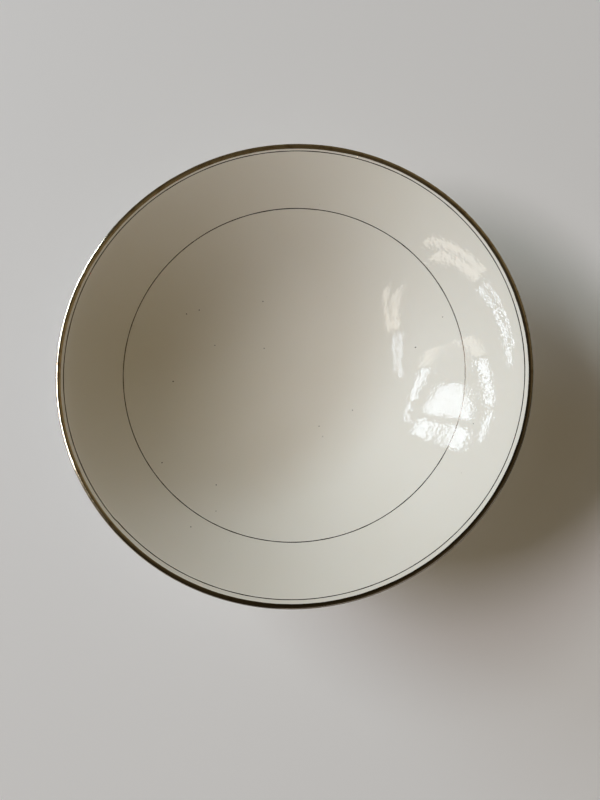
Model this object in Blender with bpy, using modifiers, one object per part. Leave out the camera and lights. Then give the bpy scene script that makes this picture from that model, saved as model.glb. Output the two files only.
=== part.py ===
"""A round porcelain serving bowl.

A glazed wall stands on a foot ring. A metal band covers its lip, and two metal lines
run round its inside. Lengths are in metres, the bowl's axis is Z and it stands on z = 0.
"""

import math

import bpy
from mathutils import Vector

# The bowl's main sizes.
RIM_RADIUS = 0.125            # outermost edge of the lip
FLOOR_HEIGHT = 0.008          # top of the floor, on the axis
INSIDE_RISE = 0.054           # from the floor up to where the lip starts
RIM_SLOPE = math.radians(32)  # how steeply the wall meets the lip
FLOOR_PULL = 0.050            # reach of the level floor on the curve of the inside
RIM_PULL = 0.044              # reach of the rim's slope on that curve
LIP_RADIUS = 0.0017           # rounding of the lip, half the wall there
FLOOR_WALL = 0.0042           # wall thickness in the middle of the floor

# The metal trim.
BAND_THICKNESS = 0.0005
BAND_INSIDE = 0.0003          # how far the band runs down the inside, below the lip
BAND_OUTSIDE = 0.002          # how far it runs down the outside
LINE_WIDTH = 0.0005
LINE_THICKNESS = 0.0003
RIM_LINE_RADIUS = 0.1204
WELL_LINE_RADIUS = 0.0949

# The foot ring.
FOOT_OUTER = 0.047
FOOT_INNER = 0.0415
FOOT_FILLET = 0.0025          # hollow rounding where the ring meets the wall
FOOT_EDGE = 0.0008            # thickness of the ring's upper edges
SEAT_ROUND = 0.0012           # rounding on both sides of the flat seat

FIT_GAP = 0.0003              # clearance between neighbouring pieces
SEGMENTS = 64
LIP_STEPS = 6
FILLET_STEPS = 3
SHARP_ANGLE = math.radians(40)

# The curve of the inside is a cubic with these four control points, as (radius, height).
RIM_TANGENT = Vector((math.cos(RIM_SLOPE), math.sin(RIM_SLOPE)))
INSIDE_START = Vector((0.0, FLOOR_HEIGHT))
INSIDE_END = Vector((RIM_RADIUS - LIP_RADIUS * (1 + math.sin(RIM_SLOPE)), FLOOR_HEIGHT + INSIDE_RISE))
FLOOR_HANDLE = INSIDE_START + Vector((FLOOR_PULL, 0.0))
RIM_HANDLE = INSIDE_END - RIM_TANGENT * RIM_PULL
RIM_SPEED = 3 * RIM_PULL      # length of the curve for a unit of its parameter, at the lip


def inside_point(t):
    """Point on the inside of the bowl, with t from 0 on the axis to 1 at the lip."""
    s = 1 - t
    return s**3 * INSIDE_START + 3 * s * s * t * FLOOR_HANDLE + 3 * s * t * t * RIM_HANDLE + t**3 * INSIDE_END


def inside_tangent(t):
    """Direction up the inside of the wall."""
    s = 1 - t
    speed = s * s * (FLOOR_HANDLE - INSIDE_START) + 2 * s * t * (RIM_HANDLE - FLOOR_HANDLE)
    speed += t * t * (INSIDE_END - RIM_HANDLE)
    return speed.normalized()


def into_wall(t):
    """Direction from the inside surface straight through the wall."""
    tangent = inside_tangent(t)
    return Vector((tangent.y, -tangent.x))


def wall_thickness(t):
    """The wall thins smoothly from the floor to the lip."""
    return 2 * LIP_RADIUS + (FLOOR_WALL - 2 * LIP_RADIUS) * (1 + math.cos(math.pi * t)) / 2


def outside_point(t, clearance=0.0):
    """Point on the outside of the bowl, or that far clear of it."""
    return inside_point(t) + into_wall(t) * (wall_thickness(t) + clearance)


def parameter_at(curve, radius):
    """Parameter at which a curve reaches a radius."""
    low = 0.0
    high = 1.0
    for _ in range(50):
        middle = (low + high) / 2
        if curve(middle).x < radius:
            low = middle
        else:
            high = middle
    return low


def between(first, last, count):
    """Evenly spaced values strictly between two others."""
    return [first + (last - first) * (step + 1) / (count + 1) for step in range(count)]


def line_section(t, half_width, depth):
    """The four corners of a strip sunk in the inside surface, from its lower edge to its upper one."""
    middle = inside_point(t)
    across = inside_tangent(t) * half_width
    inward = into_wall(t) * depth
    return [middle - across, middle - across + inward, middle + across + inward, middle + across]


def lip_path(inset, overrun):
    """Points over the lip from the inside to the outside, sunk by inset and longer by overrun."""
    inside_t = 1 - (BAND_INSIDE + overrun) / RIM_SPEED
    outside_t = 1 - (BAND_OUTSIDE + overrun) / RIM_SPEED
    inward = into_wall(1.0)
    centre = INSIDE_END + inward * LIP_RADIUS
    points = [inside_point(inside_t) + into_wall(inside_t) * inset]
    for step in range(LIP_STEPS + 1):
        turn = math.pi * step / LIP_STEPS
        arm = RIM_TANGENT * math.sin(turn) - inward * math.cos(turn)
        points.append(centre + arm * (LIP_RADIUS - inset))
    points.append(outside_point(outside_t, -inset))
    return points


def rounded(start, corner, end):
    """A curve that leaves start towards a corner and arrives at end."""
    points = []
    for step in range(FILLET_STEPS + 1):
        t = step / FILLET_STEPS
        points.append((1 - t) ** 2 * start + 2 * (1 - t) * t * corner + t * t * end)
    return points


def body_profile():
    """Outline of the wall: inside, lip, outside and underside, from the axis back to the axis."""
    groove_half = LINE_WIDTH / 2 + FIT_GAP
    groove_depth = LINE_THICKNESS + FIT_GAP
    well_t = parameter_at(inside_point, WELL_LINE_RADIUS)
    rim_t = parameter_at(inside_point, RIM_LINE_RADIUS)
    band_top_t = 1 - (BAND_INSIDE + FIT_GAP) / RIM_SPEED
    band_foot_t = 1 - (BAND_OUTSIDE + FIT_GAP) / RIM_SPEED
    points = [INSIDE_START]
    points += [inside_point(t) for t in between(0.0, well_t, 11)]
    points += line_section(well_t, groove_half, groove_depth)
    points += [inside_point(t) for t in between(well_t, rim_t, 3)]
    points += line_section(rim_t, groove_half, groove_depth)
    points.append(inside_point(band_top_t))
    points += lip_path(BAND_THICKNESS + FIT_GAP, FIT_GAP)
    points.append(outside_point(band_foot_t))
    points += [outside_point(t) for t in between(band_foot_t, 0.0, 14)]
    points.append(INSIDE_START - Vector((0.0, FLOOR_WALL)))
    return points


def band_profile():
    """Outline of the band: over the lip on its outer face, and back on its inner face."""
    return lip_path(0.0, 0.0) + lip_path(BAND_THICKNESS, 0.0)[::-1]


def line_profile(radius):
    """Outline of a metal line, flush with the glaze on both sides of it."""
    section = line_section(parameter_at(inside_point, radius), LINE_WIDTH / 2, LINE_THICKNESS)
    return section[::-1]


def foot_profile():
    """Outline of the foot ring: its top follows the wall, and its seat is flat."""
    outer_t = parameter_at(outside_point, FOOT_OUTER + FOOT_FILLET)
    inner_t = parameter_at(outside_point, FOOT_INNER - FOOT_FILLET)
    top = [outside_point(t, FIT_GAP) for t in [inner_t, *between(inner_t, outer_t, 2), outer_t]]
    drop = Vector((0.0, FOOT_EDGE))
    outer_edge = top[-1] - drop
    inner_edge = top[0] - drop
    points = list(top)
    points += rounded(
        outer_edge,
        Vector((FOOT_OUTER, outer_edge.y)),
        Vector((FOOT_OUTER, outer_edge.y - FOOT_FILLET)),
    )
    points += rounded(
        Vector((FOOT_OUTER, SEAT_ROUND)),
        Vector((FOOT_OUTER, 0.0)),
        Vector((FOOT_OUTER - SEAT_ROUND, 0.0)),
    )
    points += rounded(
        Vector((FOOT_INNER + SEAT_ROUND, 0.0)),
        Vector((FOOT_INNER, 0.0)),
        Vector((FOOT_INNER, SEAT_ROUND)),
    )
    points += rounded(
        Vector((FOOT_INNER, inner_edge.y - FOOT_FILLET)),
        Vector((FOOT_INNER, inner_edge.y)),
        inner_edge,
    )
    return points


def finish(name, colour, roughness, metallic):
    """A plain surface material."""
    material = bpy.data.materials.new(name)
    material.use_nodes = True
    shader = material.node_tree.nodes["Principled BSDF"]
    shader.inputs["Base Color"].default_value = (*colour, 1.0)
    shader.inputs["Roughness"].default_value = roughness
    shader.inputs["Metallic"].default_value = metallic
    material.diffuse_color = (*colour, 1.0)
    return material


def turned(name, profile, is_ring, material, collection):
    """A solid of revolution. A ring's profile closes on itself, and any other starts and ends on the axis."""
    outline = bpy.data.meshes.new(name + "_outline")
    last = len(profile) - 1
    edges = [(index, index + 1) for index in range(last)]
    if is_ring:
        edges.append((last, 0))
    outline.from_pydata([(point.x, 0.0, point.y) for point in profile], edges, [])
    piece = bpy.data.objects.new(name, outline)
    collection.objects.link(piece)
    screw = piece.modifiers.new("Turn", "SCREW")
    screw.axis = "Z"
    screw.steps = SEGMENTS
    screw.render_steps = SEGMENTS
    screw.use_merge_vertices = True
    screw.merge_threshold = 0.000001
    evaluated = piece.evaluated_get(bpy.context.evaluated_depsgraph_get())
    solid = bpy.data.meshes.new_from_object(evaluated)
    solid.name = name
    solid.shade_smooth()
    solid.set_sharp_from_angle(angle=SHARP_ANGLE)
    solid.materials.append(material)
    piece.modifiers.clear()
    piece.data = solid
    bpy.data.meshes.remove(outline)
    return piece


def build():
    """Make the whole bowl in a collection of its own."""
    for leftover in list(bpy.data.objects):
        bpy.data.objects.remove(leftover, do_unlink=True)
    bowl = bpy.data.collections.new("serving_bowl")
    bpy.context.scene.collection.children.link(bowl)

    glaze = finish("glazed porcelain", (0.72, 0.69, 0.60), 0.08, 0.0)
    foot_glaze = finish("glazed porcelain foot", (0.70, 0.67, 0.58), 0.12, 0.0)
    band_metal = finish("rim band metal", (0.16, 0.13, 0.09), 0.25, 1.0)
    rim_line_metal = finish("rim line metal", (0.20, 0.17, 0.13), 0.3, 1.0)
    well_line_metal = finish("well line metal", (0.22, 0.19, 0.15), 0.3, 1.0)

    turned("bowl_body", body_profile(), False, glaze, bowl)
    turned("foot_ring", foot_profile(), True, foot_glaze, bowl)
    turned("rim_band", band_profile(), True, band_metal, bowl)
    turned("rim_line", line_profile(RIM_LINE_RADIUS), True, rim_line_metal, bowl)
    turned("well_line", line_profile(WELL_LINE_RADIUS), True, well_line_metal, bowl)


build()
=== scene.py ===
"""The looks of a porcelain serving bowl: glaze, bare foot, burnished metal trim, studio and camera.

Lengths are in metres, angles in radians. The bowl stands on z = 0 and its axis is Z.
"""

import math
import random

import bmesh
import bpy
from mathutils import Matrix, Vector, noise


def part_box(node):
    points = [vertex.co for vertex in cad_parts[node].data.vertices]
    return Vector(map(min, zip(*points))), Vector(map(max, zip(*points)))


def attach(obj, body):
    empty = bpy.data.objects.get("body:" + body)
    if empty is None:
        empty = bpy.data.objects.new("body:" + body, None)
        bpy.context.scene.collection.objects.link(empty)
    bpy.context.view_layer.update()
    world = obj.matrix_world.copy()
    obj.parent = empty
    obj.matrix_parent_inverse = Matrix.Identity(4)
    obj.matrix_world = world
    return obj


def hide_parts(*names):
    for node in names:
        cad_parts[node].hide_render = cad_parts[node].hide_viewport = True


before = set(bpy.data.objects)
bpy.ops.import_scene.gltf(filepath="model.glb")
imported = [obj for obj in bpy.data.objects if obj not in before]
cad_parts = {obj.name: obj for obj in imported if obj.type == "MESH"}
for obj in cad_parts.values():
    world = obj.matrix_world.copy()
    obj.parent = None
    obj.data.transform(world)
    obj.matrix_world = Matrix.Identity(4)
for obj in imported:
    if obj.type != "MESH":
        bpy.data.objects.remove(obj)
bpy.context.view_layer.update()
MM = 0.001

# ---------------------------------------------------------------- sizes from the frame

band_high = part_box("rim_band")[1]
body_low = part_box("bowl_body")[0]
foot_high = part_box("foot_ring")[1]
rim_line_low, rim_line_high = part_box("rim_line")
well_line_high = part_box("well_line")[1]

RIM_RADIUS = band_high.x
LIP_TOP = band_high.z
FLOOR_WALL = 4.2 * MM                  # wall thickness in the middle of the floor
FLOOR_HEIGHT = body_low.z + FLOOR_WALL
LIP_RADIUS = 1.7 * MM                  # rounding of the lip, half the wall there
RIM_SLOPE = math.radians(32)           # how steeply the wall meets the lip
FLOOR_PULL = 50 * MM                   # reach of the level floor on the curve of the inside
RIM_PULL = 44 * MM                     # reach of the rim's slope on that curve
LINE_WIDTH = 0.5 * MM
LINE_THICKNESS = 0.3 * MM

# The inside is a cubic with four control points, as (radius, height), and a slight flare near the lip.
RIM_TANGENT = Vector((math.cos(RIM_SLOPE), math.sin(RIM_SLOPE)))
INSIDE_START = Vector((0.0, FLOOR_HEIGHT))
INSIDE_END = Vector((
    RIM_RADIUS - LIP_RADIUS * (1 + RIM_TANGENT.y),
    LIP_TOP - LIP_RADIUS * (1 - RIM_TANGENT.x),
))
FLOOR_HANDLE = INSIDE_START + Vector((FLOOR_PULL, 0.0))
RIM_HANDLE = INSIDE_END - RIM_TANGENT * RIM_PULL
RIM_SPEED = 3 * RIM_PULL               # length of the curve for a unit of its parameter, at the lip
FLARE = 0.25 * MM                      # how far the lip has sunk below the cubic
FLARE_START = 117.3 * MM               # radius at which the flare begins
FLARE_BEND = FLARE / (INSIDE_END.x - FLARE_START) ** 2
LIP_SLOPE = math.atan(math.tan(RIM_SLOPE) - 2 * FLARE / (INSIDE_END.x - FLARE_START))
LIP_TANGENT = Vector((math.cos(LIP_SLOPE), math.sin(LIP_SLOPE)))
LIP_START = INSIDE_END - Vector((0.0, FLARE))
LIP_CENTRE = LIP_START - Vector((-LIP_TANGENT.y, LIP_TANGENT.x)) * LIP_RADIUS

# The foot ring.
FOOT_FILLET = 2.5 * MM                 # hollow rounding where the ring meets the wall
FOOT_OUTER = foot_high.x - FOOT_FILLET
FOOT_WIDTH = 5.5 * MM
FOOT_INNER = FOOT_OUTER - FOOT_WIDTH
FOOT_BURIED = 0.8 * MM                 # how far the bare ring's top is sunk in the wall
SEAT_ROUND = 1.2 * MM                  # rounding on both sides of the flat seat
GLAZE_COAT = 0.12 * MM                 # how far the glaze stands proud of the bare foot
GLAZE_COAT_DEPTH = 0.4 * MM            # how deep the coat's back is sunk in the foot
GLAZE_STOP = 1.7 * MM                  # height above the seat where the glaze was wiped off
GLAZE_STOP_SWAY = 0.25 * MM            # how far the wiped edge wanders up and down
GLAZE_ROLL = 0.05 * MM                 # height of the roll that the glaze drew up at that edge
GLAZE_ROLL_REACH = 0.3 * MM            # how far up the foot the roll begins
GLAZE_TUCK = 0.02 * MM                 # how deep the coat's top edge lies in the wall

# The metal trim is a fired film that lies just proud of the glaze.
FILM = 0.010 * MM
LINE_FILM = 0.006 * MM
FILM_EDGE = 0.25 * MM                  # spacing of the outline's points next to the band's edges
FILM_SUNK = 0.06 * MM                  # how deep the back of the film lies in the glaze
BAND_INSIDE = 0.7 * MM                 # how far the band runs down the inside, on average
BAND_UNEVEN = 0.45 * MM                # how much further it runs where the brush leaned in
BAND_WIDEST = math.radians(105)        # direction in which it did
BAND_OUTSIDE = 2.0 * MM                # how far the band runs down the outside
BAND_STEPS = 34
BRUSH_SWAY = 0.08 * MM                 # slow wander of the band's inner edge
BRUSH_TREMBLE = 0.04 * MM              # quick wander of the same edge
BRUSH_SWAY_OUTSIDE = 0.25 * MM         # wander of its outer edge
RIM_LINE_WIDTH = 0.42 * MM
LINE_SWAY = 0.06 * MM                  # how far a drawn line wanders to either side
LINE_SWELL = 0.16                      # share by which its width varies

# How far the form is from perfect.
OUT_OF_ROUND = 0.22 * MM
OUT_OF_ROUND_TURN = 0.9                # twice the direction of the longest diameter
RIM_DIP = 0.15 * MM                    # the rim rises and falls that far, three times round
RIM_DIP_TURN = 0.6
UNDULATION = 0.010 * MM
UNDULATION_SIZE = 14 * MM
TURNING_RING = 0.0016 * MM             # height of the rings left by the turning tool
TURNING_RING_PITCH = 5.5 * MM
RING_DRIFT = 3.0                       # how far the rings stray from even spacing, in radians
RING_DRIFT_SIZE = 50 * MM
SETTLED_ABOVE = 4 * MM                 # below this height the foot was ground level again

SHARP_ANGLE = math.radians(40)
AROUND = 360
AROUND_FOOT = 180
INSIDE_STEPS = 72
OUTSIDE_STEPS = 30
LIP_STEPS = 24
FILLET_STEPS = 8
SEAT_STEPS = 6


# ---------------------------------------------------------------- the bowl's form

def inside_point(t):
    """Point on the inside of the bowl, with t from 0 on the axis to 1 at the lip."""
    s = 1 - t
    point = s**3 * INSIDE_START + 3 * s * s * t * FLOOR_HANDLE
    point += 3 * s * t * t * RIM_HANDLE
    point += t**3 * INSIDE_END
    past = max(0.0, point.x - FLARE_START)
    return point - Vector((0.0, FLARE_BEND * past * past))


def inside_speed(t):
    """How the inside point moves for a unit of t."""
    s = 1 - t
    speed = s * s * (FLOOR_HANDLE - INSIDE_START) + 2 * s * t * (RIM_HANDLE - FLOOR_HANDLE)
    speed = 3 * (speed + t * t * (INSIDE_END - RIM_HANDLE))
    past = max(0.0, inside_point(t).x - FLARE_START)
    return speed - Vector((0.0, 2 * FLARE_BEND * past * speed.x))


def into_wall(t):
    """Direction from the inside surface straight through the wall."""
    tangent = inside_speed(t).normalized()
    return Vector((tangent.y, -tangent.x))


def outside_point(t):
    """Point on the outside. The wall thins smoothly from the floor to the lip."""
    thickness = 2 * LIP_RADIUS + (FLOOR_WALL - 2 * LIP_RADIUS) * (1 + math.cos(math.pi * t)) / 2
    return inside_point(t) + into_wall(t) * thickness


def lip_point(share):
    """Point on the lip's rounding, from its inner edge at 0 to its outer edge at 1."""
    turn = math.pi * share
    outward = Vector((-LIP_TANGENT.y, LIP_TANGENT.x))
    return LIP_CENTRE + (LIP_TANGENT * math.sin(turn) + outward * math.cos(turn)) * LIP_RADIUS


def rim_skin(distance):
    """Point on the surface, that far over the rim from the lip's inner edge. Negative is inside the bowl."""
    over_lip = math.pi * LIP_RADIUS
    if distance < 0:
        return inside_point(1 + distance / RIM_SPEED)
    if distance > over_lip:
        return outside_point(1 - (distance - over_lip) / RIM_SPEED)
    return lip_point(distance / over_lip)


def parameter_at(curve, radius):
    """Parameter at which a curve reaches a radius."""
    low = 0.0
    high = 1.0
    for _ in range(40):
        middle = (low + high) / 2
        if curve(middle).x < radius:
            low = middle
        else:
            high = middle
    return low


def spread(first, last, count):
    """Evenly spaced values from the first to the last."""
    return [first + (last - first) * step / count for step in range(count + 1)]


def settle(point):
    """Where the kiln left a point: the rim is a hair out of round, and the surface undulates faintly."""
    angle = math.atan2(point.y, point.x)
    radius = math.hypot(point.x, point.y)
    share = (radius / RIM_RADIUS) ** 3
    stretch = 1 + OUT_OF_ROUND / RIM_RADIUS * share * math.cos(2 * angle - OUT_OF_ROUND_TURN)
    rise = RIM_DIP * share * math.sin(3 * angle + RIM_DIP_TURN)
    rise += UNDULATION * noise.noise(Vector((point.x, point.y, 0.0)) / UNDULATION_SIZE)
    ring_turn = 2 * math.pi * radius / TURNING_RING_PITCH
    ring_turn += RING_DRIFT * noise.noise(Vector((point.x, point.y, 1.0)) / RING_DRIFT_SIZE)
    rise += TURNING_RING * math.sin(ring_turn)
    above_seat = min(1.0, max(0.0, point.z / SETTLED_ABOVE))
    return Vector((point.x * stretch, point.y * stretch, point.z + rise * above_seat))


def wander(angle, seed, waves=3.0):
    """A smooth, closed wobble round the bowl, from about -1 to 1."""
    return 1.6 * noise.noise(Vector((waves * math.cos(angle), waves * math.sin(angle), seed * 7.31)))


# ---------------------------------------------------------------- mesh making

def turned(name, section_at, around, is_ring, material):
    """A closed piece from a section for each angle.

    A ring's section closes on itself. Any other starts and ends on the axis.
    """
    mesh = bpy.data.meshes.new(name)
    made = bmesh.new()
    rows = []
    for step in range(around):
        angle = 2 * math.pi * step / around
        rows.append([
            made.verts.new(settle(Vector((p.x * math.cos(angle), p.x * math.sin(angle), p.y))))
            for p in section_at(angle)
        ])
    for row, following in zip(rows, rows[1:] + rows[:1]):
        last = len(row) if is_ring else len(row) - 1
        for index in range(last):
            after = (index + 1) % len(row)
            made.faces.new((row[index], following[index], following[after], row[after]))
    bmesh.ops.remove_doubles(made, verts=made.verts, dist=1e-8)
    bmesh.ops.recalc_face_normals(made, faces=made.faces)
    made.to_mesh(mesh)
    made.free()
    mesh.shade_smooth()
    mesh.set_sharp_from_angle(angle=SHARP_ANGLE)
    mesh.materials.append(material)
    piece = bpy.data.objects.new(name, mesh)
    bpy.context.scene.collection.objects.link(piece)
    return piece


def outward_normals(points):
    """Directions out of the material along an outline that has the material on its right."""
    normals = []
    for index in range(len(points)):
        before = points[max(index - 1, 0)]
        after = points[min(index + 1, len(points) - 1)]
        along = (after - before).normalized()
        normals.append(Vector((-along.y, along.x)))
    return normals


def film_section(path, heights, sunk):
    """A thin closed section over a path: raised by the heights going out, and sunk coming back."""
    normals = outward_normals(path)
    top = [point + normal * height for point, normal, height in zip(path, normals, heights)]
    under = [point - normal * sunk for point, normal in zip(path, normals)]
    return top + under[1:-1:3][::-1]


def finish_piece(piece, nodes):
    """Fix a piece to the bowl and hide the model's parts that it stands in for."""
    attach(piece, "root")
    if nodes:
        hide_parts(*nodes)
    return piece


# ---------------------------------------------------------------- materials

def colour(code):
    """Linear colour from an sRGB hex code."""
    channels = [int(code[place:place + 2], 16) / 255 for place in (1, 3, 5)]
    return [c / 12.92 if c <= 0.04045 else ((c + 0.055) / 1.055) ** 2.4 for c in channels] + [1.0]


def add(tree, kind, settings, inputs):
    """Add a node with its settings, and with values or links for its inputs."""
    made = tree.nodes.new(kind)
    for key, value in settings.items():
        setattr(made, key, value)
    for key, value in inputs.items():
        if isinstance(value, bpy.types.NodeSocket):
            tree.links.new(value, made.inputs[key])
        else:
            made.inputs[key].default_value = value
    return made


def start_material(name, values):
    """A material with its shader's even values set."""
    material = bpy.data.materials.new(name)
    material.use_nodes = True
    tree = material.node_tree
    shader = tree.nodes["Principled BSDF"]
    for key, value in values.items():
        shader.inputs[key].default_value = value
    return material, tree, shader


def glazed_porcelain():
    """Hard porcelain, dipped in clear glaze and fired: ivory under a glassy, faintly rippled skin."""
    material, tree, shader = start_material(
        "glazed porcelain, dipped and fired",
        {
            "IOR": 1.5,
            "Metallic": 0.0,
            "Subsurface Weight": 0.12,
            "Subsurface Radius": (1.0, 0.8, 0.6),
            "Subsurface Scale": 1.5 * MM,
        },
    )
    place = add(tree, "ShaderNodeTexCoord", {}, {}).outputs["Object"]
    # Clouding of the body, some 40 mm across.
    cloud = add(tree, "ShaderNodeTexNoise", {}, {"Vector": place, "Scale": 1 / (40 * MM), "Detail": 2.0})
    body = add(
        tree, "ShaderNodeMix", {"data_type": "RGBA"},
        {"Factor": cloud.outputs["Fac"], 6: colour("#E6E1D3"), 7: colour("#EAE6DA")},
    )
    # Pepper: iron grains a few tenths of a millimetre across under the glaze, one every 15 mm or so.
    grain = add(
        tree, "ShaderNodeTexVoronoi", {},
        {"Vector": place, "Scale": 1 / (4 * MM), "Randomness": 1.0},
    )
    near = add(
        tree, "ShaderNodeMapRange", {},
        {
            "Value": grain.outputs["Distance"],
            "From Min": 0.03,
            "From Max": 0.075,
            "To Min": 1.0,
            "To Max": 0.0,
        },
    )
    lot = add(tree, "ShaderNodeSeparateColor", {}, {"Color": grain.outputs["Color"]})
    few = add(
        tree, "ShaderNodeMapRange", {},
        {"Value": lot.outputs["Red"], "From Min": 0.93, "From Max": 1.0, "To Min": 0.0, "To Max": 0.55},
    )
    pepper = add(
        tree, "ShaderNodeMath", {"operation": "MULTIPLY"},
        {0: near.outputs["Result"], 1: few.outputs["Result"]},
    )
    tone = add(
        tree, "ShaderNodeMix", {"data_type": "RGBA"},
        {"Factor": pepper.outputs["Value"], 6: body.outputs[2], 7: colour("#7A6F60")},
    )
    tree.links.new(tone.outputs[2], shader.inputs["Base Color"])
    # The gloss is dulled here and there by use.
    dull = add(tree, "ShaderNodeTexNoise", {}, {"Vector": place, "Scale": 1 / (18 * MM), "Detail": 4.0})
    gloss = add(
        tree, "ShaderNodeMapRange", {},
        {"Value": dull.outputs["Fac"], "From Min": 0.35, "From Max": 0.75, "To Min": 0.02, "To Max": 0.05},
    )
    tree.links.new(gloss.outputs["Result"], shader.inputs["Roughness"])
    # Orange peel, as coarse as it needs to be to show, over a slower swell. Each is about a hundredth
    # of a millimetre deep.
    peel = add(tree, "ShaderNodeTexNoise", {}, {"Vector": place, "Scale": 1 / (1.3 * MM), "Detail": 0.0})
    swell = add(tree, "ShaderNodeTexNoise", {}, {"Vector": place, "Scale": 1 / (7 * MM), "Detail": 1.0})
    slow = add(
        tree, "ShaderNodeBump", {},
        {"Height": swell.outputs["Fac"], "Strength": 1.0, "Distance": 0.008 * MM},
    )
    fine = add(
        tree, "ShaderNodeBump", {},
        {
            "Height": peel.outputs["Fac"],
            "Strength": 1.0,
            "Distance": 0.0095 * MM,
            "Normal": slow.outputs["Normal"],
        },
    )
    tree.links.new(fine.outputs["Normal"], shader.inputs["Normal"])
    return material


def bare_porcelain():
    """The foot's unglazed porcelain, ground level after firing: matt, warm and greyed by wear."""
    material, tree, shader = start_material("bare porcelain, ground", {"IOR": 1.5, "Metallic": 0.0})
    place = add(tree, "ShaderNodeTexCoord", {}, {}).outputs["Object"]
    grit = add(tree, "ShaderNodeTexNoise", {}, {"Vector": place, "Scale": 1 / (0.5 * MM), "Detail": 3.0})
    scuff = add(tree, "ShaderNodeTexNoise", {}, {"Vector": place, "Scale": 1 / (9 * MM), "Detail": 5.0})
    worn = add(
        tree, "ShaderNodeMapRange", {},
        {"Value": scuff.outputs["Fac"], "From Min": 0.42, "From Max": 0.68},
    )
    tone = add(
        tree, "ShaderNodeMix", {"data_type": "RGBA"},
        {"Factor": worn.outputs["Result"], 6: colour("#DDD3C1"), 7: colour("#A79C8C")},
    )
    tree.links.new(tone.outputs[2], shader.inputs["Base Color"])
    rough = add(
        tree, "ShaderNodeMapRange", {},
        {"Value": grit.outputs["Fac"], "From Min": 0.3, "From Max": 0.7, "To Min": 0.5, "To Max": 0.75},
    )
    tree.links.new(rough.outputs["Result"], shader.inputs["Roughness"])
    bump = add(
        tree, "ShaderNodeBump", {},
        {"Height": grit.outputs["Fac"], "Strength": 1.0, "Distance": 0.03 * MM},
    )
    tree.links.new(bump.outputs["Normal"], shader.inputs["Normal"])
    return material


BRUSH_STROKE = 12 * MM                 # length of a stroke round the bowl
BRISTLE = 0.35 * MM                    # width of a stroke across the band
RUB_SIZE = 3 * MM
PAINTED_SHADE_SIDE = (0.55, -0.83, 0.0)      # direction of the side painted darkest, as painted shade


def brushed_lustre(name, fresh, worn, shade_tone, rough, stroke_depth):
    """Liquid platinum-gold, brushed on in one turn and burnished: a mirror with strokes along it."""
    material, tree, shader = start_material(name, {"Metallic": 1.0})
    place = add(tree, "ShaderNodeTexCoord", {}, {}).outputs["Object"]
    split = add(tree, "ShaderNodeSeparateXYZ", {}, {"Vector": place})
    level = add(tree, "ShaderNodeCombineXYZ", {}, {"X": split.outputs["X"], "Y": split.outputs["Y"]})
    # Strokes follow the brush round the bowl: short across the band, long around it.
    radius = add(tree, "ShaderNodeVectorMath", {"operation": "LENGTH"}, {0: level.outputs["Vector"]})
    heading = add(tree, "ShaderNodeVectorMath", {"operation": "NORMALIZE"}, {0: level.outputs["Vector"]})
    around = add(
        tree, "ShaderNodeVectorMath", {"operation": "SCALE"},
        {0: heading.outputs["Vector"], "Scale": RIM_RADIUS / BRUSH_STROKE},
    )
    bristle = add(
        tree, "ShaderNodeMath", {"operation": "MULTIPLY"},
        {0: radius.outputs["Value"], 1: 1 / BRISTLE},
    )
    across = add(tree, "ShaderNodeCombineXYZ", {}, {"Z": bristle.outputs["Value"]})
    stroke_place = add(
        tree, "ShaderNodeVectorMath", {"operation": "ADD"},
        {0: around.outputs["Vector"], 1: across.outputs["Vector"]},
    )
    stroke = add(
        tree, "ShaderNodeTexNoise", {},
        {"Vector": stroke_place.outputs["Vector"], "Scale": 1.0, "Detail": 3.0},
    )
    # Use has rubbed the film thin in places.
    rub = add(tree, "ShaderNodeTexNoise", {}, {"Vector": place, "Scale": 1 / RUB_SIZE, "Detail": 5.0})
    thin = add(
        tree, "ShaderNodeMapRange", {},
        {"Value": rub.outputs["Fac"], "From Min": 0.5, "From Max": 0.72, "To Min": 0.0, "To Max": 0.8},
    )
    rubbed = add(
        tree, "ShaderNodeMix", {"data_type": "RGBA"},
        {"Factor": thin.outputs["Result"], 6: colour(fresh), 7: colour(worn)},
    )
    # One side is painted darker brown: painted shade, standing for the dim room that the metal mirrors
    # there.
    lean = add(
        tree, "ShaderNodeVectorMath", {"operation": "DOT_PRODUCT"},
        {0: place, 1: tuple(part / RIM_RADIUS for part in PAINTED_SHADE_SIDE)},
    )
    painted_shade = add(
        tree, "ShaderNodeMapRange", {},
        {"Value": lean.outputs["Value"], "From Min": 0.0, "From Max": 0.8, "To Min": 0.0, "To Max": 0.9},
    )
    tone = add(
        tree, "ShaderNodeMix", {"data_type": "RGBA"},
        {"Factor": painted_shade.outputs["Result"], 6: rubbed.outputs[2], 7: colour(shade_tone)},
    )
    tree.links.new(tone.outputs[2], shader.inputs["Base Color"])
    soft = add(
        tree, "ShaderNodeMapRange", {},
        {
            "Value": stroke.outputs["Fac"],
            "From Min": 0.3,
            "From Max": 0.7,
            "To Min": rough * 0.7,
            "To Max": rough * 1.4,
        },
    )
    tree.links.new(soft.outputs["Result"], shader.inputs["Roughness"])
    bump = add(
        tree, "ShaderNodeBump", {},
        {"Height": stroke.outputs["Fac"], "Strength": 1.0, "Distance": stroke_depth},
    )
    tree.links.new(bump.outputs["Normal"], shader.inputs["Normal"])
    return material


def iron_speck():
    """An iron grain that melted into the glaze: a brown-grey dot under the gloss."""
    material, tree, shader = start_material("iron speck in glaze", {"IOR": 1.5, "Roughness": 0.1})
    place = add(tree, "ShaderNodeTexCoord", {}, {}).outputs["Object"]
    mottle = add(
        tree, "ShaderNodeTexNoise", {},
        {"Vector": place, "Scale": 1 / (0.15 * MM), "Detail": 2.0},
    )
    tone = add(
        tree, "ShaderNodeMix", {"data_type": "RGBA"},
        {"Factor": mottle.outputs["Fac"], 6: colour("#6E6455"), 7: colour("#453E35")},
    )
    tree.links.new(tone.outputs[2], shader.inputs["Base Color"])
    return material


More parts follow.
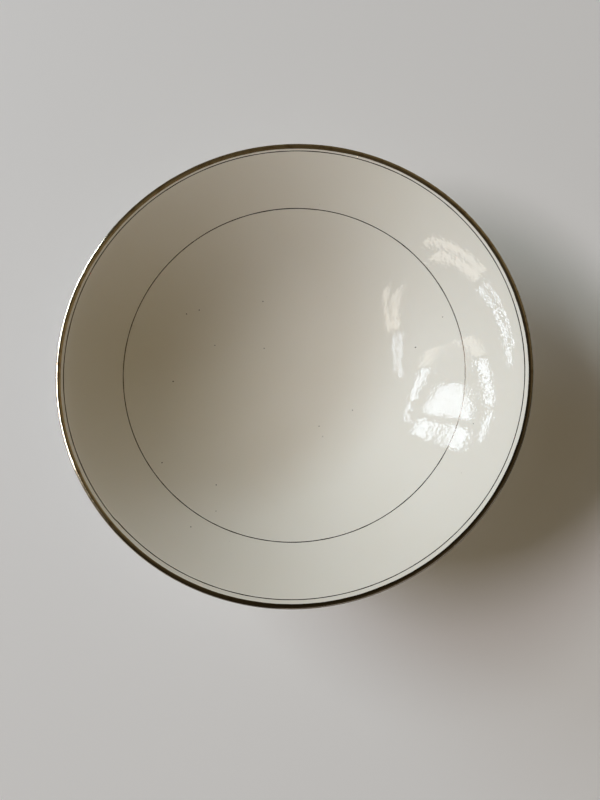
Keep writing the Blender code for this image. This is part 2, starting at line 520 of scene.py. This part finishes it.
# ---------------------------------------------------------------- the porcelain

def wall_section(_angle):
    """Outline of the wall: from the axis up the inside, over the lip and back along the outside."""
    points = [inside_point(t) for t in spread(0.0, 1.0, INSIDE_STEPS)]
    points += [lip_point(share) for share in spread(0.0, 1.0, LIP_STEPS)[1:-1]]
    points += [outside_point(t) for t in spread(1.0, 0.0, OUTSIDE_STEPS)]
    return points


def curve_between(start, corner, end, count):
    """A rounding that leaves start towards a corner and arrives at end."""
    return [
        (1 - t) ** 2 * start + 2 * (1 - t) * t * corner + t * t * end
        for t in spread(0.0, 1.0, count)
    ]


def foot_fillet(side, face):
    """The rounding from the wall to one side of the foot ring. side is 1 outside and -1 inside."""
    t = parameter_at(outside_point, face + side * FOOT_FILLET)
    start = outside_point(t)
    slope = (outside_point(t + 0.01) - outside_point(t - 0.01)).normalized()
    corner = start - slope * ((start.x - face) / slope.x)
    return curve_between(start, corner, corner - Vector((0.0, FOOT_FILLET)), FILLET_STEPS)


def foot_side(side):
    """One side of the bare foot ring, from the wall down to its seat."""
    face = FOOT_OUTER - GLAZE_COAT if side > 0 else FOOT_INNER + GLAZE_COAT
    points = foot_fillet(side, face)
    points += [Vector((face, height)) for height in spread(points[-1].y, SEAT_ROUND, FILLET_STEPS)[1:-1]]
    seat_edge = Vector((face - side * SEAT_ROUND, 0.0))
    return points + curve_between(Vector((face, SEAT_ROUND)), Vector((face, 0.0)), seat_edge, SEAT_STEPS)


def foot_section(_angle):
    """Outline of the bare foot ring, with its top sunk in the wall."""
    outer = foot_side(1)
    inner = foot_side(-1)
    buried = Vector((0.0, FOOT_BURIED))
    return [inner[0] + buried, outer[0] + buried] + outer + inner[::-1]


def foot_coat_section(side, seed):
    """Section of the glaze down one side of the foot, wiped off in a wavy line that drew up a roll."""
    fillet = foot_fillet(side, FOOT_OUTER if side > 0 else FOOT_INNER)
    face = fillet[-1].x

    def section(angle):
        stop = GLAZE_STOP + GLAZE_STOP_SWAY * wander(angle, seed, 9.0)
        down = spread(fillet[-1].y, stop + GLAZE_ROLL_REACH, 4)[1:]
        path = fillet + [Vector((face, height)) for height in down]
        path += [Vector((face, stop + GLAZE_ROLL_REACH / 3)), Vector((face, stop))]
        heights = [-GLAZE_TUCK] + [0.0] * (len(path) - 3) + [GLAZE_ROLL, -GLAZE_COAT]
        if side > 0:
            return film_section(path, heights, GLAZE_COAT_DEPTH)
        return film_section(path[::-1], heights[::-1], GLAZE_COAT_DEPTH)

    return section


def make_porcelain():
    """The glazed wall, the bare foot ring and the glaze on the foot's two sides."""
    glaze = glazed_porcelain()
    wall = turned("glazed_wall", wall_section, AROUND, False, glaze)
    finish_piece(wall, ["bowl_body"])
    foot = turned("bare_foot_ring", foot_section, AROUND_FOOT, True, bare_porcelain())
    finish_piece(foot, ["foot_ring"])
    for name, side, seed in (("foot_glaze_outside", 1, 3), ("foot_glaze_inside", -1, 4)):
        coat = turned(name, foot_coat_section(side, seed), AROUND_FOOT, True, glaze)
        finish_piece(coat, [])


# ---------------------------------------------------------------- specks in the glaze

SPECKS = 16
BEAD_HALF_HEIGHT = 0.03 * MM
BEAD_SUNK = 0.012 * MM


def bead(name, t, angle, size, material):
    """A tiny flat bead, sunk in the inside surface so that only its cap stands out.

    Its size is given across the wall and up it.
    """
    mesh = bpy.data.meshes.new(name)
    made = bmesh.new()
    bmesh.ops.create_icosphere(made, subdivisions=2, radius=1.0)
    point = inside_point(t)
    tangent = inside_speed(t).normalized()
    outward = Vector((math.cos(angle), math.sin(angle), 0.0))
    up_wall = outward * tangent.x + Vector((0.0, 0.0, tangent.y))
    normal = -outward * tangent.y + Vector((0.0, 0.0, tangent.x))
    sideways = up_wall.cross(normal)
    turn = Matrix((sideways, up_wall, normal)).transposed().to_4x4()
    shape = Matrix.Diagonal((size[0] / 2, size[1] / 2, BEAD_HALF_HEIGHT, 1.0))
    centre = settle(outward * point.x + Vector((0.0, 0.0, point.y))) - normal * BEAD_SUNK
    bmesh.ops.transform(made, matrix=Matrix.Translation(centre) @ turn @ shape, verts=made.verts)
    bmesh.ops.recalc_face_normals(made, faces=made.faces)
    made.to_mesh(mesh)
    made.free()
    mesh.shade_smooth()
    mesh.materials.append(material)
    piece = bpy.data.objects.new(name, mesh)
    bpy.context.scene.collection.objects.link(piece)
    return piece


def make_specks():
    """Iron specks scattered at random over the inside, clear of its middle and its rim."""
    draw = random.Random(12)
    material = iron_speck()
    for number in range(SPECKS):
        t = 0.12 + 0.7 * math.sqrt(draw.random())
        angle = draw.uniform(0.0, 2 * math.pi)
        width = draw.uniform(0.5, 1.0) * MM
        length = width * draw.uniform(0.8, 1.5)
        speck = bead("iron_speck_%02d" % (number + 1), t, angle, (width, length), material)
        finish_piece(speck, [])


# ---------------------------------------------------------------- the metal trim

DRIP_BELOW = 1.7 * MM                  # from the lip's inner edge to the middle of the drip
DRIP_HEADING = math.radians(72)
DRIP_SIZE = (0.35 * MM, 2.2 * MM)
RIM_LINE_LAP = math.radians(224)       # where the brush came round to its start
WELL_LINE_LAP = math.radians(350)


def band_section(angle):
    """Section of the rim band: over the lip, with edges that wander as a hand-held brush does."""
    start = -BAND_INSIDE - BAND_UNEVEN * math.cos(angle - BAND_WIDEST)
    start += BRUSH_TREMBLE * wander(angle, 2, 25.0) - BRUSH_SWAY * wander(angle, 1, 6.0)
    end = math.pi * LIP_RADIUS + BAND_OUTSIDE + BRUSH_SWAY_OUTSIDE * wander(angle, 5, 5.0)
    distances = [start, start + FILM_EDGE]
    distances += spread(start + 2 * FILM_EDGE, end - 2 * FILM_EDGE, BAND_STEPS)
    distances += [end - FILM_EDGE, end]
    path = [rim_skin(distance) for distance in distances]
    return film_section(path, [FILM] * len(path), FILM_SUNK)


def line_section(radius, width, seed, lap_angle, lap):
    """Section of a drawn line, which wanders a little, and whose end misses its start by lap."""
    t = parameter_at(inside_point, radius)
    speed = inside_speed(t).length

    def section(angle):
        since_lap = ((angle - lap_angle) % (2 * math.pi)) / (2 * math.pi)
        middle = LINE_SWAY * wander(angle, seed, 4.0) + lap * (since_lap - 0.5)
        half = width / 2 * (1 + LINE_SWELL * wander(angle, seed + 1, 14.0))
        path = [inside_point(t + (middle + half * share) / speed) for share in spread(-1.0, 1.0, 4)]
        return film_section(path, [LINE_FILM] * len(path), FILM_SUNK)

    return section


def middle_radius(high):
    """Radius at the middle of a line's box, whose corners stand half the line off it."""
    half_run = (LINE_WIDTH * math.cos(RIM_SLOPE) + LINE_THICKNESS * math.sin(RIM_SLOPE)) / 2
    return high.x - half_run - LINE_THICKNESS * math.sin(RIM_SLOPE) / 2


def make_trim():
    """The rim band, the rim line and the well line."""
    # The third colour of each lustre is painted shade, laid on its dim side.
    lustre = brushed_lustre(
        "platinum-gold lustre, brushed and burnished", "#DDD2BE", "#A8906C", "#51493F", 0.10, 0.003 * MM
    )
    line_lustre = brushed_lustre(
        "platinum lustre, drawn with a fine brush", "#625B51", "#4A4239", "#57504A", 0.10, 0.001 * MM
    )
    band = turned("rim_band_lustre", band_section, AROUND, True, lustre)
    finish_piece(band, ["rim_band"])
    drip_place = 1 - DRIP_BELOW / RIM_SPEED
    drip = bead("rim_band_brush_drip", drip_place, DRIP_HEADING, DRIP_SIZE, lustre)
    finish_piece(drip, [])
    rim_section = line_section(middle_radius(rim_line_high), RIM_LINE_WIDTH, 11, RIM_LINE_LAP, 0.3 * MM)
    rim_line = turned("rim_line_lustre", rim_section, AROUND, True, line_lustre)
    finish_piece(rim_line, ["rim_line"])
    well_section = line_section(middle_radius(well_line_high), LINE_WIDTH, 21, WELL_LINE_LAP, 0.1 * MM)
    well_line = turned("well_line_lustre", well_section, AROUND, True, line_lustre)
    finish_piece(well_line, ["well_line"])


# ---------------------------------------------------------------- studio

WINDOW_WALL = 6.0                      # distance of the wall of windows
WINDOW_HEADING = math.radians(175)     # direction of that wall, round from the X axis
MIRROR_SPOT = Vector((0.72 * RIM_RADIUS, 0.0, 0.65 * LIP_TOP))   # part of the bowl that mirrors them
CARD_HEADING = math.radians(300)
CARD_DISTANCE = 1.5
CARD_HEIGHT = 0.19
CARD_SIZE = (2.2, 0.28)
CARD_RADIANCE = 2.3
FLOOR_REACH = 8.0
GLOW_HEIGHT = 0.71                     # sine of the height of the room's glow
GLOW_SPREAD = 0.34
GLOW_LEAN = 0.45                       # how much stronger the glow is on the right
GLOW_LEVEL = 0.6
GLOW_COLOUR = (0.36, 0.275, 0.145, 1.0)

# Each pane: left and right edges, lower and upper edges, lean in degrees, radiance and tint.
# Edges are shares of the wall's distance, as seen from the mirror spot.
COOL = (0.84, 0.93, 1.05)
CREAM = (1.0, 0.93, 0.82)
PANES = {
    "window_low": ((0.19, 0.75), (0.22, 0.38), 0, 16.5, (0.81, 0.99, 1.18)),
    "window_middle": ((0.19, 0.75), (0.62, 0.732), 0, 27.0, (0.93, 1.02, 1.03)),
    "window_beside": ((-0.30, 0.19), (0.62, 0.735), 0, 41.0, (1.02, 0.97, 1.02)),
    "pane_big": ((0.31, 0.52), (0.743, 0.776), -5, 8.4, COOL),
    "pane_corner": ((0.57, 0.72), (0.765, 0.802), -8, 8.6, COOL),
    "pane_right": ((0.20, 0.44), (0.815, 0.842), -3, 8.8, COOL),
    "pane_left": ((0.47, 0.63), (0.836, 0.855), 0, 8.8, COOL),
    "pane_side": ((0.07, 0.18), (0.815, 0.845), 0, 3.5, CREAM),
    "skylight_lower": ((-0.13, 0.27), (0.971, 0.990), 12, 9.0, COOL),
    "skylight_upper": ((-0.13, 0.21), (1.024, 1.042), 12, 8.6, COOL),
    "blind_lower": ((-0.48, -0.15), (1.095, 1.14), 20, 4.5, CREAM),
    "blind_upper": ((-0.60, -0.15), (1.185, 1.23), 23, 4.2, CREAM),
}


def area_light(name, centre, across, upward, size, radiance, tint):
    """A rectangular light with an even radiance, facing away from the cross product of its two sides."""
    light = bpy.data.lights.new(name, "AREA")
    light.shape = "RECTANGLE"
    light.size = size[0]
    light.size_y = size[1]
    light.energy = math.pi * size[0] * size[1] * radiance
    light.color = tint
    lamp = bpy.data.objects.new(name, light)
    back = across.cross(upward)
    turn = Matrix((across, upward, back)).transposed().to_4x4()
    lamp.matrix_world = Matrix.Translation(centre) @ turn
    lamp.visible_camera = False
    bpy.context.scene.collection.objects.link(lamp)


def make_windows():
    """The panes of a wall of windows, to the left of the bowl."""
    back = Vector((math.cos(WINDOW_HEADING), math.sin(WINDOW_HEADING), 0.0))
    up = Vector((0.0, 0.0, 1.0))
    leftward = back.cross(up)
    across = up.cross(back)
    for name, (sides, heights, lean, radiance, tint) in PANES.items():
        middle = back + leftward * (sides[0] + sides[1]) / 2 + up * (heights[0] + heights[1]) / 2
        tilt = Matrix.Rotation(math.radians(lean), 3, back)
        size = ((sides[1] - sides[0]) * WINDOW_WALL, (heights[1] - heights[0]) * WINDOW_WALL)
        place = MIRROR_SPOT + middle * WINDOW_WALL
        area_light(name, place, tilt @ across, tilt @ up, size, radiance, tint)


def make_fill():
    """A low glowing card in front and to the right, which lightens the side away from the windows."""
    back = Vector((math.cos(CARD_HEADING), math.sin(CARD_HEADING), 0.0))
    up = Vector((0.0, 0.0, 1.0))
    place = back * CARD_DISTANCE + up * CARD_HEIGHT
    area_light("low_card", place, up.cross(back), up, CARD_SIZE, CARD_RADIANCE, (1.03, 1.0, 0.98))


def make_floor():
    """A plain pale floor."""
    floor_mesh = bpy.data.meshes.new("floor")
    made = bmesh.new()
    bmesh.ops.create_grid(made, x_segments=1, y_segments=1, size=FLOOR_REACH)
    made.to_mesh(floor_mesh)
    made.free()
    floor = bpy.data.objects.new("floor", floor_mesh)
    bpy.context.scene.collection.objects.link(floor)
    material, _tree, _shader = start_material(
        "studio floor", {"Base Color": colour("#EFEEEC"), "Roughness": 0.8}
    )
    floor_mesh.materials.append(material)


def make_room():
    """A dim, warm room: a soft glow half-way up, strongest on the right, with little overhead."""
    world = bpy.data.worlds.new("room")
    bpy.context.scene.world = world
    world.use_nodes = True
    tree = world.node_tree
    place = add(tree, "ShaderNodeTexCoord", {}, {}).outputs["Generated"]
    way = add(tree, "ShaderNodeSeparateXYZ", {}, {"Vector": place})
    off_centre = add(
        tree, "ShaderNodeMath", {"operation": "MULTIPLY_ADD"},
        {0: way.outputs["Z"], 1: 1 / GLOW_SPREAD, 2: -GLOW_HEIGHT / GLOW_SPREAD},
    )
    squared = add(
        tree, "ShaderNodeMath", {"operation": "MULTIPLY"},
        {0: off_centre.outputs["Value"], 1: off_centre.outputs["Value"]},
    )
    fade = add(tree, "ShaderNodeMath", {"operation": "MULTIPLY"}, {0: squared.outputs["Value"], 1: -1.0})
    belt = add(tree, "ShaderNodeMath", {"operation": "EXPONENT"}, {0: fade.outputs["Value"]})
    side = add(
        tree, "ShaderNodeMath", {"operation": "MULTIPLY_ADD", "use_clamp": True},
        {0: way.outputs["X"], 1: GLOW_LEAN, 2: GLOW_LEVEL},
    )
    both = add(
        tree, "ShaderNodeMath", {"operation": "MULTIPLY"},
        {0: side.outputs["Value"], 1: side.outputs["Value"]},
    )
    glow = add(
        tree, "ShaderNodeMath", {"operation": "MULTIPLY"},
        {0: belt.outputs["Value"], 1: both.outputs["Value"]},
    )
    background = tree.nodes["Background"]
    background.inputs["Color"].default_value = GLOW_COLOUR
    tree.links.new(glow.outputs["Value"], background.inputs["Strength"])


# ---------------------------------------------------------------- camera

CAMERA_TILT = math.radians(14.9)       # off the bowl's axis
CAMERA_TURN = math.radians(13.0)       # round the axis, from the front
CAMERA_DISTANCE = 0.2732               # from the middle of the rim line
CAMERA_AIM = Vector((0.0051, -0.0222, 0.0))   # where it points, from the same middle
CAMERA_LENS = 23.4                     # focal length in mm, on a sensor 36 mm across
CAMERA_SENSOR = 36.0


def make_camera():
    """Look into the bowl from a little off its axis."""
    centre = Vector((0.0, 0.0, (rim_line_low.z + rim_line_high.z) / 2))
    toward = Vector((
        math.sin(CAMERA_TILT) * math.sin(CAMERA_TURN),
        -math.sin(CAMERA_TILT) * math.cos(CAMERA_TURN),
        math.cos(CAMERA_TILT),
    ))
    place = centre + toward * CAMERA_DISTANCE
    aim = centre + CAMERA_AIM
    back = (place - aim).normalized()
    right = Vector((0.0, 1.0, 0.0)).cross(back).normalized()
    up = back.cross(right)
    data = bpy.data.cameras.new("camera")
    data.sensor_width = CAMERA_SENSOR
    data.lens = CAMERA_LENS
    data.clip_start = 0.01
    camera = bpy.data.objects.new("camera", data)
    camera.matrix_world = Matrix.Translation(place) @ Matrix((right, up, back)).transposed().to_4x4()
    bpy.context.scene.collection.objects.link(camera)
    bpy.context.scene.camera = camera


make_camera()
make_porcelain()
make_specks()
make_trim()
make_windows()
make_fill()
make_floor()
make_room()
bpy.context.scene.view_settings.view_transform = "Standard"
